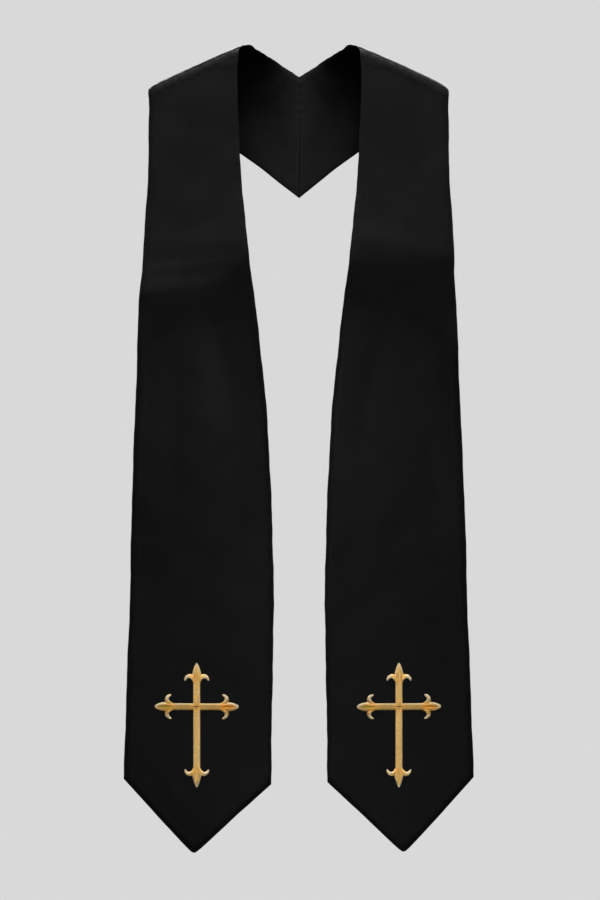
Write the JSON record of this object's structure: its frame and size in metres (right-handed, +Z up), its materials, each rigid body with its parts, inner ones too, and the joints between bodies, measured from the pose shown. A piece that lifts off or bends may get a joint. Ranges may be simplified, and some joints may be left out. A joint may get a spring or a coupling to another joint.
{
  "type": "choir stole",
  "caption": "Worn satin choir stole: mitred V at the centre back, long bands over both shoulders with pointed hems, each with a gold embroidered cross fleury.",
  "frame": {"origin": "on the plane of symmetry, at the height and depth where the neck edges cross the top of the shoulders", "axes": "+Z up along the hanging bands, -Y the front of the stole, +X the wearer's left"},
  "size_m": [0.3654, 0.1942, 0.8576],
  "materials": {
    "black_satin": "dense black polyester satin with a soft sheen",
    "black_satin_lining": "black satin lining, the same cloth as the face",
    "gold_thread": "raised satin stitch in gold rayon thread"
  },
  "bodies": {
    "root": {"face_left": "black_satin", "face_right": "black_satin", "lining_left": "black_satin_lining", "lining_right": "black_satin_lining", "cross_left": "gold_thread", "cross_right": "gold_thread"}
  },
  "joints": []
}
